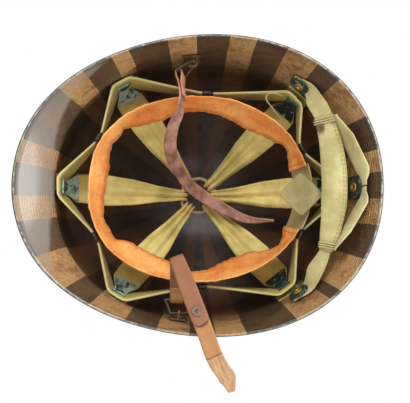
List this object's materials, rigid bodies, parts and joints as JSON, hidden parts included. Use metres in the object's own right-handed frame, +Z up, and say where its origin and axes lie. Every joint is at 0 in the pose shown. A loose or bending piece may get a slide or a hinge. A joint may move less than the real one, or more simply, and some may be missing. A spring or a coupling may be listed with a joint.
{
  "type": "helmet liner",
  "caption": "Egg-shaped helmet liner of resin-bonded canvas, open side up, with a webbing suspension, leather sweatband, nape strap and leather chin straps.",
  "frame": {"origin": "middle of the small flat on the crown, which the liner lies on", "axes": "+X to the nape, +Y to the wearer's left, +Z up out of the open side"},
  "size_m": [0.2851, 0.2714, 0.1733],
  "materials": {
    "resin_canvas": "resin over woven canvas, glossy inside",
    "brass_rivets": "dull",
    "green_washers": "worn dark green",
    "corroded_washers": "dark paint under pale verdigris",
    "lace_cord": "braided",
    "tying_cord": "twisted",
    "sweatband_leather": "smooth orange-tan",
    "rear_webbing": "woven",
    "spring_clip_steel": "dark green",
    "crown_webbing": "herringbone weave",
    "band_webbing": "herringbone weave",
    "nape_webbing": "herringbone weave",
    "rusty_steel": "rusted",
    "green_clips": "worn dark green",
    "bail_wire": "dull wire",
    "strap_leather": "dry grain, worn edges",
    "snap_steel": "worn dark enamel"
  },
  "bodies": {
    "liner": {"chin_rivets": "brass_rivets", "crown_lace": "lace_cord", "front_crown_strap": "crown_webbing", "front_washer": "corroded_washers", "left_chin_clip": "green_clips", "left_front_band": "band_webbing", "left_front_crown_strap": "crown_webbing", "left_front_washer": "corroded_washers", "left_rear_band": "band_webbing", "left_rear_crown_strap": "crown_webbing", "left_rear_washer": "corroded_washers", "left_side_band": "band_webbing", "loose_tie_cord": "tying_cord", "nape_band": "nape_webbing", "nape_left_strap": "nape_webbing", "nape_left_tie": "tying_cord", "nape_left_washer": "green_washers", "nape_rear_left_strap": "nape_webbing", "nape_rear_right_strap": "nape_webbing", "nape_rear_washer": "green_washers", "nape_right_strap": "nape_webbing", "nape_right_tie": "tying_cord", "nape_right_washer": "green_washers", "nape_rivets": "brass_rivets", "nape_stud": "rusty_steel", "rear_crown_strap": "crown_webbing", "rear_washer": "corroded_washers", "right_chin_clip": "green_clips", "right_front_band": "band_webbing", "right_front_crown_strap": "crown_webbing", "right_front_washer": "corroded_washers", "right_rear_band": "band_webbing", "right_rear_crown_strap": "crown_webbing", "right_rear_washer": "corroded_washers", "right_side_band": "band_webbing", "shell": "resin_canvas", "suspension_rivets": "brass_rivets", "sweatband": "sweatband_leather", "sweatband_clips": "spring_clip_steel", "sweatband_rear_tab": "rear_webbing", "sweatband_rear_web": "rear_webbing"},
    "left_bail": {"left_bail": "bail_wire"},
    "left_strap": {"left_chinstrap": "strap_leather"},
    "right_bail": {"right_bail": "bail_wire"},
    "right_loop": {"right_strap_loop": "strap_leather"},
    "right_flap": {"right_strap_flap": "strap_leather", "right_strap_snap": "snap_steel"},
    "right_tail": {"right_strap_tail": "strap_leather"}
  },
  "joints": [
    {"name": "left_bail_swing", "type": "hinge", "parent": "liner", "child": "left_bail", "pos_m": [-0.00347, 0.09554, 0.12591], "axis": [-0.9974, -0.0714, 0], "range_deg": [0, 27]},
    {"name": "left_strap_turn", "type": "hinge", "parent": "left_bail", "child": "left_strap", "pos_m": [-0.01331, 0.08865, 0.12724], "axis": [-0.22, 0.3901, 0.8941], "range_deg": [-5, 5]},
    {"name": "right_bail_swing", "type": "hinge", "parent": "liner", "child": "right_bail", "pos_m": [-0.01401, -0.09639, 0.12554], "axis": [1, 0, 0], "range_deg": [0, 30]},
    {"name": "right_loop_level", "type": "hinge", "parent": "right_bail", "child": "right_loop", "pos_m": [-0.01551, -0.08593, 0.12459], "axis": [1, 0, 0], "range_deg": [-30, 0]},
    {"name": "right_flap_fold", "type": "hinge", "parent": "right_loop", "child": "right_flap", "pos_m": [-0.01551, -0.0545, 0.13952], "axis": [-0.9326, -0.361, 0], "range_deg": [0, 120]},
    {"name": "right_tail_swivel", "type": "hinge", "parent": "right_flap", "child": "right_tail", "pos_m": [0.00055, -0.09599, 0.16122], "axis": [-0.1582, 0.4088, 0.8988], "range_deg": [-10, 10]}
  ],
  "couplings": [
    {"joint": "right_loop_level", "follows": "right_bail_swing", "ratio": -1}
  ]
}
